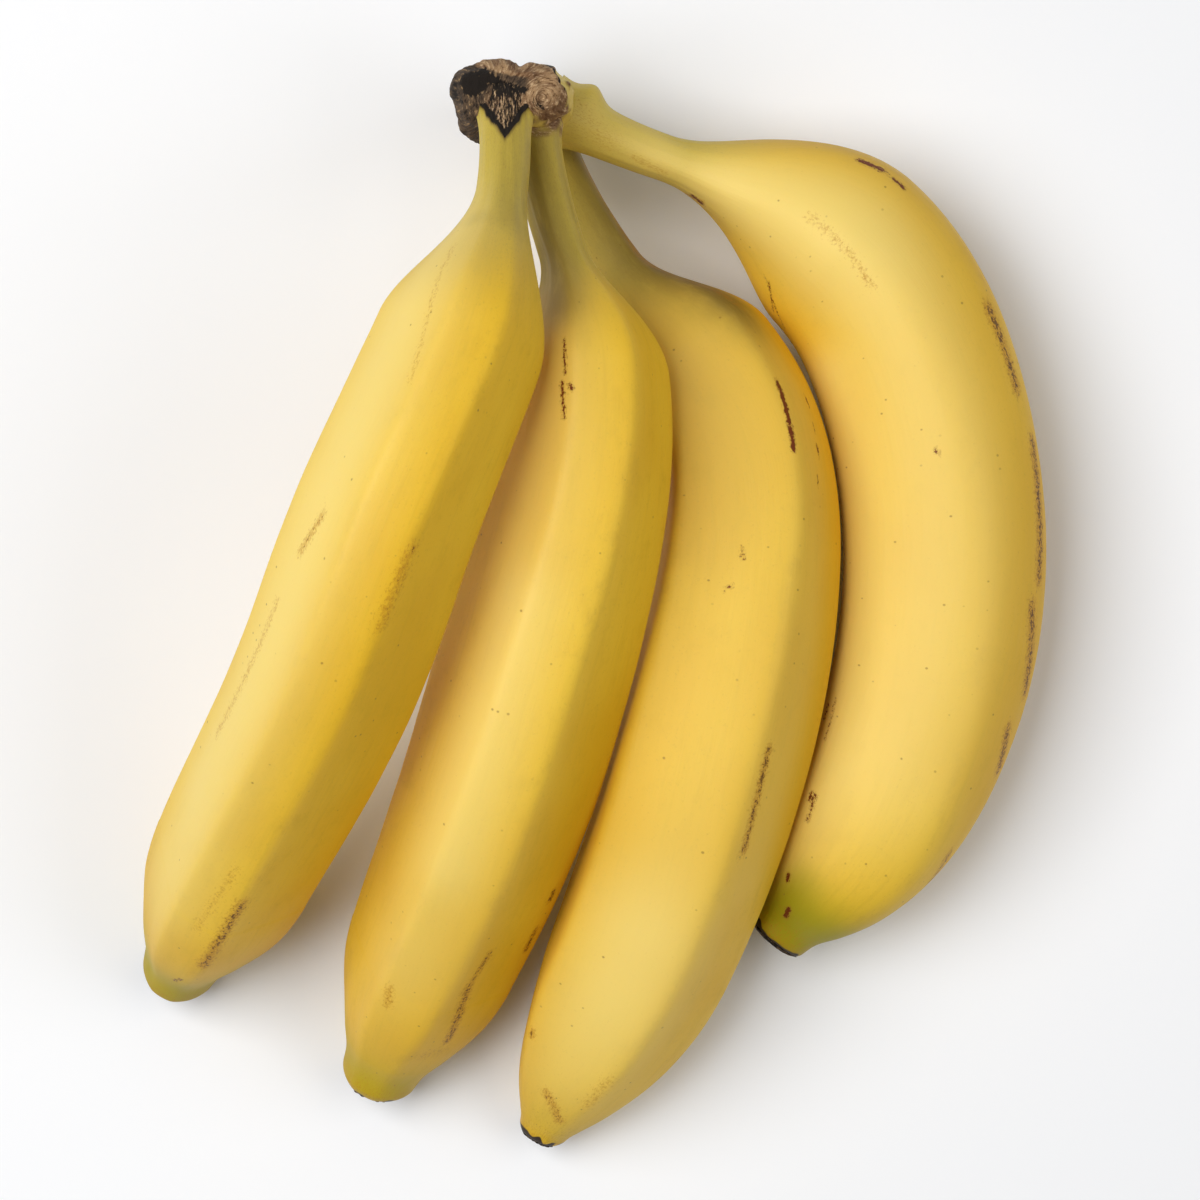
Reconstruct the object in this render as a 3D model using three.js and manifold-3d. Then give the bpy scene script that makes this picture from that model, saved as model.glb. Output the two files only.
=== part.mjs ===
// A hand of four bananas joined at one crown, lying on its side on a table.
// Millimetres, +Z up. The origin lies on the table under the middle of the bunch, the bananas run
// along Y with the crown at +Y, and they are stacked from banana_4, flat on the table, up to
// banana_1 on top.
import * as THREE from 'three';
import { ParametricGeometry } from 'three/addons/geometries/ParametricGeometry.js';
import { mergeVertices } from 'three/addons/utils/BufferGeometryUtils.js';
import Module from 'manifold-3d';

const wasm = await Module();
wasm.setup();

// ---------------------------------------------------------------- driving dimensions

const GAP = 0.3;              // clearance between two bodies that meet
const AROUND = 32;            // facets round a banana
const ALONG = 40;             // rings along a banana
const END_CROWDING = 0.5;     // 0 spaces the rings evenly, up to 1 draws them to both ends
const CAP_LENGTH = 1.8;       // length of the dried blossom end beyond the peel
const RIDGE_START = 15;       // distance along the neck where the ridges begin to stand out,
const RIDGE_RISE = 40;        // the length over which they reach their full depth,
const NECK_RIDGES = 0.35;     // and the share of it that the neck already has
const TABLE_SIZE = 400;       // a block that stands for the table, to cut the flat spots
const TABLE_DEPTH = 40;
const FLARE_LENGTH = 6;       // how fast a neck's flare at the crown fades
const NIPPLE_TAPER = 0.12;    // how much the nipple widens in its own length
const NOSE_JOIN = 7;          // exponent that joins nose and nipple, higher for a sharper notch

// Each banana: the points that its middle line passes through (x, y, z), the angles of its five
// ridges from the middle of its outer curve half-way along it, how many degrees they turn in every
// 100 mm, how flat the faces between them are (1 is flat, 0 a round section), the exponent that
// makes them sharp, and the lengths and half-widths along it.
const BANANAS = [
  {
    axis: [[-15.6, 93.9, 51.5], [-15.8, 79.2, 59.5], [-18.6, 62.8, 68.5], [-25.3, 42.8, 75.5],
      [-34.9, 20, 78], [-44.3, -4.5, 70], [-61.8, -37.6, 42], [-80.5, -70.6, 3.1]],
    ridges: [28, -10, -84, -156, 108], ridgeTwist: 8, ridgeDepth: 0.85, sharpness: 22,
    neck: 4.6, neckLength: 20, shoulder: 32.5, belly: 14.8, waist: 0.11, widest: 0.78,
    nose: 39, noseBulge: 2.38, noseFall: 1.92, tip: 6.3, nipple: 5.5, endRounding: 4, flare: 0,
    lumps: [],
  },
  {
    axis: [[-11.9, 93.7, 40], [-7, 72.7, 45.8], [-1.6, 52.7, 51.6], [-1.5, 27.2, 54.7],
      [-8, -1.8, 52.6], [-18.1, -35, 41.3], [-28.3, -60.3, 24.7], [-42.2, -91, 4.8]],
    ridges: [49, 8, -66, -138, 126], ridgeTwist: 16, ridgeDepth: 0.85, sharpness: 20,
    neck: 4.45, neckLength: 29.5, shoulder: 24.5, belly: 16.2, waist: 0.19, widest: 0.87,
    nose: 34, noseBulge: 2.32, noseFall: 1.76, tip: 6.5, nipple: 4.2, endRounding: 4, flare: 0,
    lumps: [],
  },
  {
    axis: [[-12.9, 94.6, 15], [-3.3, 76.2, 19.5], [8.2, 59.1, 23.7], [24.4, 33.5, 28.2],
      [26.3, 6, 31], [19.4, -28.6, 32.1], [6.3, -66.5, 19.9], [-10.5, -100.8, 4.9]],
    ridges: [28, -38, -104, -170, 98], ridgeTwist: 16, ridgeDepth: 0.75, sharpness: 14,
    neck: 6, neckLength: 35.5, shoulder: 24, belly: 18.9, waist: 0.16, widest: 0.85,
    nose: 45, noseBulge: 1.96, noseFall: 1.82, tip: 4.2, nipple: 2, endRounding: 3, flare: 0.25,
    lumps: [],
  },
  {
    axis: [[-8.1, 94.5, 28], [12.2, 86, 25.7], [30.7, 79.7, 21.8], [52.4, 63, 19],
      [63.6, 36.8, 18.7], [66.2, 6.2, 18.5], [57.1, -30, 17.7], [33.6, -62.2, 12.2]],
    ridges: [18, -50, -118, 166, 80], ridgeTwist: -28, ridgeDepth: 0.45, sharpness: 7,
    neck: 4.4, neckLength: 23.6, shoulder: 39.7, belly: 19, waist: 0.1, widest: 0.65,
    nose: 44, noseBulge: 3.04, noseFall: 1.73, tip: 6, nipple: 3.2, endRounding: 2.5, flare: 0.35,
    lumps: [{ along: 6.5, angle: 20, length: 2.8, width: 36, height: 2.6 }],
  },
];

// The crown: a boxy lump of dried stem that stands from the table up to the top banana's neck.
const CROWN = {
  top: 56.5, bottom: -0.3,                     // its lowest 0.3 mm is flattened by the table
  foot: [-11.3, 94], head: [-14.8, 94.8],    // middle of the lump at the table and at its top
  footHalf: [8.5, 7], headHalf: [11.5, 6.9],   // half-width across X and Y
  boxiness: 0.42,                              // 1 is an ellipsoid, 0 a box
  around: 36, rings: 20,
  // lumps and hollows: direction seen from above, height, spread in degrees and mm, relief in mm
  lumps: [
    { angle: 97, z: 47, width: 9, reach: 16, height: -1.5 },
    { angle: 152, z: 36, width: 26, reach: 12, height: 1.1 },
    { angle: 48, z: 30, width: 22, reach: 8, height: 0.7 },
    { angle: 205, z: 22, width: 22, reach: 8, height: 1 },
    { angle: 118, z: 14, width: 30, reach: 7, height: 1 },
    { angle: 70, z: 22, width: 14, reach: 6, height: -0.8 },
  ],
};

// ---------------------------------------------------------------- colours

const PEEL = { color: 0xdfc04a, roughness: 0.5, metalness: 0 };
const CROWN_BARK = { color: 0x5f4a36, roughness: 0.9, metalness: 0 };
const DRIED_FLOWER = { color: 0x3a2c20, roughness: 0.9, metalness: 0 };

// ---------------------------------------------------------------- small maths

const radians = THREE.MathUtils.degToRad;
const clamp01 = (x) => THREE.MathUtils.clamp(x, 0, 1);
const ease = (x) => THREE.MathUtils.smoothstep(x, 0, 1);
const bell = (x, spread) => Math.exp(-((x / spread) ** 2));

// the shorter way round between two angles in degrees
const turnBetween = (a, b) => ((((a - b) % 360) + 540) % 360) - 180;

// A smooth curve through its points: the natural cubic spline, whose bending fades out at both ends.
class NaturalSpline extends THREE.Curve {
  constructor(points) {
    super();
    this.points = points.map((p) => new THREE.Vector3(...p));
    this.knots = [0];
    for (let i = 1; i < points.length; i += 1) {
      this.knots.push(this.knots[i - 1] + this.points[i].distanceTo(this.points[i - 1]));
    }
    this.bends = this.solveBends();
    this.arcLengthDivisions = 800;
  }

  // second derivatives at the points, from the tridiagonal system, solved by elimination
  solveBends() {
    const { points: p, knots: k } = this;
    const last = p.length - 1;
    const bends = p.map(() => new THREE.Vector3());
    const factor = p.map(() => 0);
    for (let i = 1; i < last; i += 1) {
      const before = k[i] - k[i - 1];
      const after = k[i + 1] - k[i];
      const slope = p[i + 1].clone().sub(p[i]).divideScalar(after)
        .sub(p[i].clone().sub(p[i - 1]).divideScalar(before));
      const pivot = 2 * (before + after) - before * factor[i - 1];
      factor[i] = after / pivot;
      bends[i].copy(slope.multiplyScalar(6).addScaledVector(bends[i - 1], -before)).divideScalar(pivot);
    }
    for (let i = last - 1; i > 0; i -= 1) bends[i].addScaledVector(bends[i + 1], -factor[i]);
    return bends;
  }

  getPoint(t, target = new THREE.Vector3()) {
    const { points: p, knots: k, bends: m } = this;
    const at = t * k[k.length - 1];
    let i = 0;
    while (i < p.length - 2 && at > k[i + 1]) i += 1;
    const h = k[i + 1] - k[i];
    const a = k[i + 1] - at;
    const b = at - k[i];
    return target.set(0, 0, 0)
      .addScaledVector(m[i], a ** 3 / (6 * h) - (h * a) / 6)
      .addScaledVector(m[i + 1], b ** 3 / (6 * h) - (h * b) / 6)
      .addScaledVector(p[i], a / h)
      .addScaledVector(p[i + 1], b / h);
  }
}

// ---------------------------------------------------------------- solids

// A surface whose seam and poles coincide becomes a closed solid once its vertices are merged.
function solidFrom(geometry) {
  geometry.deleteAttribute('normal');
  geometry.deleteAttribute('uv');
  const merged = mergeVertices(geometry, 1e-4);
  const corners = merged.index.array;
  const faces = [];
  for (let i = 0; i < corners.length; i += 3) {
    const [a, b, c] = corners.slice(i, i + 3);
    if (a !== b && b !== c && c !== a) faces.push(a, b, c);
  }
  return new wasm.Manifold(new wasm.Mesh({
    numProp: 3,
    vertProperties: merged.attributes.position.array,
    triVerts: new Uint32Array(faces),
  }));
}

function meshFrom(name, solid, look) {
  const { vertProperties, triVerts, numProp } = solid.getMesh();
  const corners = new Float32Array(triVerts.length * 3);
  triVerts.forEach((v, i) => {
    corners.set(vertProperties.slice(v * numProp, v * numProp + 3), i * 3);
  });
  const geometry = new THREE.BufferGeometry();
  geometry.setAttribute('position', new THREE.BufferAttribute(corners, 3));
  geometry.computeVertexNormals();
  const mesh = new THREE.Mesh(geometry, new THREE.MeshStandardMaterial(look));
  mesh.name = name;
  return mesh;
}

// everything under the table top, which leaves a small flat spot where a piece lies on it
function underTable() {
  const box = new THREE.BoxGeometry(TABLE_SIZE, TABLE_SIZE, TABLE_DEPTH);
  box.translate(0, 0, -TABLE_DEPTH / 2);
  return solidFrom(box);
}

// ---------------------------------------------------------------- one banana

// Half-width at a distance along the middle line: a straight neck, an S-curved shoulder, a body that
// narrows a little towards both ends, and a nose that falls to the short nipple at the tip.
function halfWidth(b, along, length) {
  const neck = b.neck * (1 + b.flare * Math.exp(-along / FLARE_LENGTH));
  const rise = ease((along - b.neckLength) / b.shoulder);
  const middle = clamp01((along - b.neckLength - b.shoulder) / (length - b.neckLength - b.shoulder));
  const swell = 1 - b.waist * (2 * middle - b.widest) ** 2;
  const body = neck + (b.belly * swell - neck) * rise;
  const left = length - along;
  if (left >= b.nose) return body;
  const fall = clamp01((b.nose - left) / (b.nose - b.nipple));
  const nose = body * (1 - fall ** b.noseBulge) ** (1 / b.noseFall);
  const nipple = b.tip * (1 + NIPPLE_TAPER * THREE.MathUtils.clamp(left / b.nipple, 0, 3));
  const joined = (nose ** NOSE_JOIN + nipple ** NOSE_JOIN) ** (1 / NOSE_JOIN);
  const rounding = clamp01(left / b.endRounding);
  return joined * Math.sqrt(1 - (1 - rounding) ** 2);
}

// Distance from the middle line in a direction, for a five-sided section with rounded ridges whose
// sharp corners would lie on a unit circle.
function section(angle, ridges, sharpness) {
  const sorted = [...ridges].sort((p, q) => p - q);
  let sum = 0;
  sorted.forEach((ridge, i) => {
    const next = i + 1 < sorted.length ? sorted[i + 1] : sorted[0] + 360;
    const facing = Math.cos(radians(angle - (ridge + next) / 2));
    const reach = Math.cos(radians((next - ridge) / 2));
    sum += (Math.max(0, facing) / reach) ** sharpness;
  });
  return sum ** (-1 / sharpness);
}

function averageSection(ridges, sharpness) {
  let sum = 0;
  for (let angle = 0; angle < 360; angle += 1) sum += section(angle, ridges, sharpness);
  return sum / 360;
}

// The skin of a banana from one distance along it to another, closed with a flat end where it is
// cut. Angle 0 is the middle of the outer curve.
function bananaSkin(b, start, stop) {
  const curve = new NaturalSpline(b.axis);
  const length = curve.getLength();
  const chord = curve.getPointAt(0).add(curve.getPointAt(1)).multiplyScalar(0.5);
  const outward = curve.getPointAt(0.5).sub(chord).normalize();
  const mean = averageSection(b.ridges, b.sharpness);
  const end = stop ?? length;
  const rings = Math.max(4, Math.round(ALONG * ((end - start) / length) ** 0.6));

  const skin = (u, v, target) => {
    const ring = v * rings;
    const share = clamp01((ring - 1) / (rings - 2));
    const drawn = share - (END_CROWDING * Math.sin(2 * Math.PI * share)) / (2 * Math.PI);
    const along = start + (end - start) * drawn;
    const t = along / length;
    const tangent = curve.getTangentAt(t);
    const out = outward.clone().addScaledVector(tangent, -outward.dot(tangent)).normalize();
    const side = tangent.clone().cross(out);
    const angle = 360 * u;
    const risen = NECK_RIDGES + (1 - NECK_RIDGES) * ease((along - RIDGE_START) / RIDGE_RISE);
    const depth = b.ridgeDepth * risen;
    const turned = angle - (b.ridgeTwist * (along - length / 2)) / 100;
    const swell = section(turned, b.ridges, b.sharpness) / mean - 1;
    let radius = halfWidth(b, along, length) * (1 + swell * depth);
    b.lumps.forEach((lump) => {
      radius += lump.height * bell(along - lump.along, lump.length)
        * bell(turnBetween(angle, lump.angle), lump.width);
    });
    if (ring < 0.5 || ring > rings - 0.5) radius = 0;
    curve.getPointAt(t, target);
    target.addScaledVector(out, radius * Math.cos(radians(angle)));
    target.addScaledVector(side, radius * Math.sin(radians(angle)));
  };
  return { solid: solidFrom(new ParametricGeometry(skin, AROUND, rings)), length };
}

// ---------------------------------------------------------------- the crown

// A boxy ellipsoid standing on end, whose middle and half-widths change steadily with height, with
// soft lumps and hollows raised on it.
function crownSkin(grow) {
  const { top, bottom, foot, head, footHalf, headHalf, boxiness } = CROWN;
  const middle = (top + bottom) / 2;
  const half = (top - bottom) / 2;
  const between = (a, b, t) => a + (b - a) * t;
  const surface = (u, v, target) => {
    const tilt = (v - 0.5) * Math.PI;
    const rise = Math.sign(tilt) * Math.abs(Math.sin(tilt)) ** boxiness;
    const spread = v === 0 || v === 1 ? 0 : Math.cos(tilt) ** boxiness;
    const z = middle + (half + grow) * rise;
    const t = clamp01(z / top);
    const angle = 360 * u;
    let relief = grow;
    CROWN.lumps.forEach((lump) => {
      relief += lump.height * bell(turnBetween(angle, lump.angle), lump.width)
        * bell(z - lump.z, lump.reach);
    });
    const cos = Math.cos(radians(angle));
    const sin = Math.sin(radians(angle));
    target.set(
      between(foot[0], head[0], t) + (between(footHalf[0], headHalf[0], t) + relief) * cos * spread,
      between(foot[1], head[1], t) + (between(footHalf[1], headHalf[1], t) + relief) * sin * spread,
      z,
    );
  };
  return solidFrom(new ParametricGeometry(surface, CROWN.around, CROWN.rings));
}

// ---------------------------------------------------------------- the bunch

const bunch = new THREE.Group();
const table = underTable();
const crownWithGap = crownSkin(GAP);

bunch.add(meshFrom('crown', crownSkin(0).subtract(table), CROWN_BARK));

BANANAS.forEach((banana, i) => {
  const { length } = bananaSkin(banana, 0);
  const peelEnd = length - CAP_LENGTH;
  const peel = bananaSkin(banana, 0, peelEnd).solid.subtract(crownWithGap).subtract(table);
  const flower = bananaSkin(banana, peelEnd + GAP).solid.subtract(table);
  bunch.add(meshFrom(`banana_${i + 1}`, peel, PEEL));
  bunch.add(meshFrom(`blossom_end_${i + 1}`, flower, DRIED_FLOWER));
});

export default bunch;
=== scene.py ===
# %% [markdown]
# # A hand of four bananas
# A hand of bananas is a short woody crown with the fruits' necks grown into it. This lesson
# dresses a ready CAD model of one. The CAD model is the fixed frame: it says where each fruit
# lies and how big it is. Here the plain solids are swapped for finer surfaces with real peel,
# bark and dried flower ends. We could sculpt them by hand, but a surface that is worked out from
# a formula stays editable, so every piece below is numpy arithmetic on a grid.

# %% Load the frame
import bpy
import numpy as np
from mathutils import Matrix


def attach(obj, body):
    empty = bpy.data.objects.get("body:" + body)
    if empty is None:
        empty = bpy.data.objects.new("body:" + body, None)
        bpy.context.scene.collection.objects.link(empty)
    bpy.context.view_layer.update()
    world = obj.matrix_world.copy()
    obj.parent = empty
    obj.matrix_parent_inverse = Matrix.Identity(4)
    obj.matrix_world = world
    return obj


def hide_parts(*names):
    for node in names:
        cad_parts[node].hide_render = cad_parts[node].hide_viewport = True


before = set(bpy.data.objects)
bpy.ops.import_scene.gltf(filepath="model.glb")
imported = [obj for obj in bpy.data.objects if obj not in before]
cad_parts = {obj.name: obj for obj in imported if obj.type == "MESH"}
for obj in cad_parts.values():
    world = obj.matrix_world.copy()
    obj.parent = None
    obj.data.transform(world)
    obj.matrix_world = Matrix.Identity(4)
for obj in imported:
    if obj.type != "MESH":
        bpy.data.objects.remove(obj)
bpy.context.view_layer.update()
print("CAD solids:", sorted(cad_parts))

# %% [markdown]
# ## Camera
# A product shot of fruit is taken from straight above with a long lens, so the near fruits don't
# swell. In Blender a camera with no rotation looks straight down. The lens is given in
# millimetres for a 36 mm sensor. A shorter lens closer in would fill the frame as well, but it
# would bend the outlines.

# %% Camera
SENSOR, LENS = 36, 140.13                # mm
CAMERA_PLACE = (0.0017, 0.0026, 0.9)     # metres, straight above the bunch
camera_data = bpy.data.cameras.new("camera")
camera_data.sensor_width = SENSOR
camera_data.lens = LENS
camera_data.clip_start = 0.01
camera = bpy.data.objects.new("camera", camera_data)
camera.location = CAMERA_PLACE
bpy.context.collection.objects.link(camera)
bpy.context.scene.camera = camera
print("camera height in metres:", camera.location.z)

# %% [markdown]
# ## Measurements of the fruits
# Each fruit is a tube along a curved middle line. The numbers are the CAD model's own, in
# millimetres: eight points for the middle line, the directions of the five ridges of the peel,
# measured in degrees from the middle of the outer curve, and the half-widths and lengths of
# neck, shoulder, belly, nose and tip. Repeating them here keeps each new surface exactly where
# its solid is.

# %% Measurements of the fruits
FRUITS = [
    dict(axis=[[-15.6, 93.9, 51.5], [-15.8, 79.2, 59.5], [-18.6, 62.8, 68.5], [-25.3, 42.8, 75.5],
               [-34.9, 20, 78], [-44.3, -4.5, 70], [-61.8, -37.6, 42], [-80.5, -70.6, 3.1]],
         ridges=[28, -10, -84, -156, 108], twist=8, ridge_depth=0.85, sharpness=22, neck=4.6,
         neck_length=20, shoulder=32.5, belly=14.8, waist=0.11, widest=0.78, nose=39,
         nose_bulge=2.38, nose_fall=1.92, tip=6.3, nipple=5.5, end_rounding=4, flare=0),
    dict(axis=[[-11.9, 93.7, 40], [-7, 72.7, 45.8], [-1.6, 52.7, 51.6], [-1.5, 27.2, 54.7],
               [-8, -1.8, 52.6], [-18.1, -35, 41.3], [-28.3, -60.3, 24.7], [-42.2, -91, 4.8]],
         ridges=[49, 8, -66, -138, 126], twist=16, ridge_depth=0.85, sharpness=20, neck=4.45,
         neck_length=29.5, shoulder=24.5, belly=16.2, waist=0.19, widest=0.87, nose=34,
         nose_bulge=2.32, nose_fall=1.76, tip=6.5, nipple=4.2, end_rounding=4, flare=0),
    dict(axis=[[-12.9, 94.6, 15], [-3.3, 76.2, 19.5], [8.2, 59.1, 23.7], [24.4, 33.5, 28.2],
               [26.3, 6, 31], [19.4, -28.6, 32.1], [6.3, -66.5, 19.9], [-10.5, -100.8, 4.9]],
         ridges=[28, -38, -104, -170, 98], twist=16, ridge_depth=0.75, sharpness=14, neck=6,
         neck_length=35.5, shoulder=24, belly=18.9, waist=0.16, widest=0.85, nose=45,
         nose_bulge=1.96, nose_fall=1.82, tip=4.2, nipple=2, end_rounding=3, flare=0.25),
    dict(axis=[[-8.1, 94.5, 28], [12.2, 86, 25.7], [30.7, 79.7, 21.8], [52.4, 63, 19],
               [63.6, 36.8, 18.7], [66.2, 6.2, 18.5], [57.1, -30, 17.7], [33.6, -62.2, 12.2]],
         ridges=[18, -50, -118, 166, 80], twist=-28, ridge_depth=0.45, sharpness=7, neck=4.4,
         neck_length=23.6, shoulder=39.7, belly=19, waist=0.1, widest=0.65, nose=44,
         nose_bulge=3.04, nose_fall=1.73, tip=6, nipple=3.2, end_rounding=2.5, flare=0.35),
]
CAP_LENGTH = 1.8        # dried flower end beyond the peel
CAP_GAP = 0.3           # shadow line between the two
print("fruits:", len(FRUITS))

# %% [markdown]
# ## The middle line
# A Bezier curve object could carry the tube, but then the places of the marks on the peel would
# be hard to compute. A natural cubic spline passes through the points with the least bending,
# like a thin steel ruler held at them. It is solved once as a small matrix equation and then
# sampled thickly, so everything later is a table look-up by distance.

# %% The middle line
def ease(x):
    """Smooth step: 0 below 0, 1 above 1, and 3x^2 - 2x^3 between."""
    x = np.clip(x, 0, 1)
    return x * x * (3 - 2 * x)


def unit(vectors):
    """Vectors divided by their lengths."""
    return vectors / np.linalg.norm(vectors, axis=-1, keepdims=True)


def middle_line(points, samples=3201):
    """Natural cubic spline: bending is zero at both ends and changes evenly between points.
    Returns the distance along the curve, the places and the unit directions."""
    p = np.array(points, float)
    n = len(p)
    h = np.linalg.norm(np.diff(p, axis=0), axis=1)
    knots = np.append(0, np.cumsum(h))
    slopes = np.diff(p, axis=0) / h[:, None]
    matrix = np.eye(n)
    inner = np.arange(1, n - 1)
    matrix[inner, inner - 1], matrix[inner, inner + 1] = h[:-1], h[1:]
    matrix[inner, inner] = 2 * (h[:-1] + h[1:])
    right = np.zeros((n, 3))
    right[1:-1] = 6 * np.diff(slopes, axis=0)
    bend = np.linalg.solve(matrix, right)
    t = np.linspace(0, knots[-1], samples)
    i = np.clip(np.searchsorted(knots, t, side="right") - 1, 0, n - 2)
    step, a, b = h[i][:, None], (knots[i + 1] - t)[:, None], (t - knots[i])[:, None]
    place = (bend[i] * (a ** 3 / step - step * a) / 6 + bend[i + 1] * (b ** 3 / step - step * b) / 6
             + p[i] * a / step + p[i + 1] * b / step)
    along = np.append(0, np.cumsum(np.linalg.norm(np.diff(place, axis=0), axis=1)))
    return along, place, unit(np.gradient(place, along, axis=0))


print("lengths in mm:", [round(middle_line(f["axis"])[0][-1], 1) for f in FRUITS])

# %% [markdown]
# ## Soft random relief
# Nothing grown is perfectly smooth. Blender's Displace modifier with a noise texture would do
# it, but we need the same randomness again for colours, so we make our own. Value noise puts a
# random height on each corner of a lattice and blends smoothly between corners. One version
# wraps round a tube, the other fills space.

# %% Soft random relief
LONGEST = 260       # mm, longer than any fruit
CUBES = 32          # lattice cubes each way before the values come round again


def tube_noise(along, angle, cell, around, seed):
    """Random heights -1 to 1 on a lattice `cell` mm long and 360/`around` degrees wide, blended
    with a smooth step in both directions. It closes on itself round the tube."""
    lattice = np.random.default_rng(seed).uniform(-1, 1, (int(LONGEST / cell) + 3, around))
    u, v = along / cell, np.mod(angle, 360) / 360 * around
    i, j = np.floor(u).astype(int), np.floor(v).astype(int)
    fu, fv = ease(u - i), ease(v - j)
    j0, j1 = j % around, (j + 1) % around
    near = lattice[i, j0] * (1 - fv) + lattice[i, j1] * fv
    far = lattice[i + 1, j0] * (1 - fv) + lattice[i + 1, j1] * fv
    return near * (1 - fu) + far * fu


def space_noise(place, cell, seed):
    """The same in space: random values on a lattice of cubes `cell` mm wide, each point blended
    from the eight corners of its cube."""
    table = np.random.default_rng(seed).uniform(-1, 1, (CUBES, CUBES, CUBES))
    q = place / cell
    i = np.floor(q).astype(int)
    f = ease(q - i)
    total = 0
    for corner in np.ndindex(2, 2, 2):
        share = np.prod(np.where(corner, f, 1 - f), axis=-1)
        k = (i + corner) % CUBES
        total = total + share * table[k[..., 0], k[..., 1], k[..., 2]]
    return total


heights = np.array([[0, 0, 1.0], [0, 0, 2], [0, 0, 3]])
print("noise at three heights:", space_noise(heights, 4, 1).round(2))

# %% [markdown]
# ## Width and section of a fruit
# Cut a banana across and it is a rounded pentagon: five ridges with nearly flat faces between
# them. Seen from the side it has a thin neck, an S-curved shoulder, a belly, a nose and a short
# nipple. Both are plain functions, the first of the angle and the second of the distance along
# the fruit, and their product is the whole shape.

# %% Width and section of a fruit
def half_width(f, along, length):
    """Neck, with a flare that fades over 6 mm from the crown. Then a smooth step up to a belly
    that narrows with the square of the distance from its widest place, then a nose falling like
    a superellipse, joined to the nipple by a seventh-power sum, and a round end."""
    neck = f["neck"] * (1 + f["flare"] * np.exp(-along / 6))
    rise = ease((along - f["neck_length"]) / f["shoulder"])
    start = f["neck_length"] + f["shoulder"]
    middle = np.clip((along - start) / (length - start), 0, 1)
    swell = 1 - f["waist"] * (2 * middle - f["widest"]) ** 2
    body = neck + (f["belly"] * swell - neck) * rise
    left = length - along
    fall = np.clip((f["nose"] - left) / (f["nose"] - f["nipple"]), 0, 1)
    nose = body * (1 - fall ** f["nose_bulge"]) ** (1 / f["nose_fall"])
    nipple = f["tip"] * (1 + 0.12 * np.clip(left / f["nipple"], 0, 3))
    joined = np.where(left > f["nose"], body, (nose ** 7 + nipple ** 7) ** (1 / 7))
    rounding = np.clip(left / f["end_rounding"], 0, 1)
    return joined * np.sqrt(1 - (1 - rounding) ** 2)


def section(angle, ridges, sharpness):
    """A pentagon as a p-norm: for each face, the cosine of the angle from its middle over the
    face's distance, raised to a power, added up, and the root turned over. A high power gives
    crisp ridges, a low one soft ones."""
    first = np.sort(ridges)
    second = np.append(first[1:], first[0] + 360)
    total = 0
    for a, b in zip(first, second):
        facing = np.maximum(1e-9, np.cos(np.radians(angle - (a + b) / 2)))
        total = total + (facing / np.cos(np.radians((b - a) / 2))) ** sharpness
    return total ** (-1 / sharpness)


def turn_between(a, b):
    """The shorter way round from b to a, in degrees, -180 to 180."""
    return np.mod(a - b + 180, 360) - 180


stations = np.array([5.0, 60, 120, 205])
print("half-width of the first fruit in mm:", half_width(FRUITS[0], stations, 213.3).round(1))

# %% [markdown]
# ## The crown's shape
# The crown is the end of the stem that the hand was cut from. It is a boxy ellipsoid that
# stands on the table: an ellipsoid whose sines and cosines are raised to a power below one gets
# fuller corners. The necks need to know how far they are outside it, because each flares where
# it grows in, so the crown's formula comes first.

# %% The crown's shape
CROWN = dict(top=56.5, bottom=-0.3, foot=(-11.3, 94), head=(-14.8, 94.8), foot_half=(8.5, 7),
             head_half=(11.5, 6.9), boxiness=0.42)


def crown_level(z):
    """Middle (x, y) and half-widths of the crown at a height: both change evenly from the table
    to the top."""
    t = np.clip(z / CROWN["top"], 0, 1)[..., None]
    middle = np.array(CROWN["foot"]) * (1 - t) + np.array(CROWN["head"]) * t
    half = np.array(CROWN["foot_half"]) * (1 - t) + np.array(CROWN["head_half"]) * t
    return middle, half


def outside_crown(place):
    """Rough distance in mm outside the crown, from the ratio of the point's distance to the
    crown's reach in that direction."""
    middle, half = crown_level(place[..., 2])
    centre = (CROWN["top"] + CROWN["bottom"]) / 2
    level = np.clip(np.abs(place[..., 2] - centre) / (CROWN["top"] - centre), 0, 1)
    k = CROWN["boxiness"]
    spread = (1 - level ** (2 / k)) ** (k / 2)
    reach = np.linalg.norm((place[..., :2] - middle) / half, axis=-1)
    return (reach - spread) * half.mean(axis=-1)


print("a point 10 mm in front of the crown:", outside_crown(np.array([[-13.0, 77, 30]])).round(1))
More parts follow.
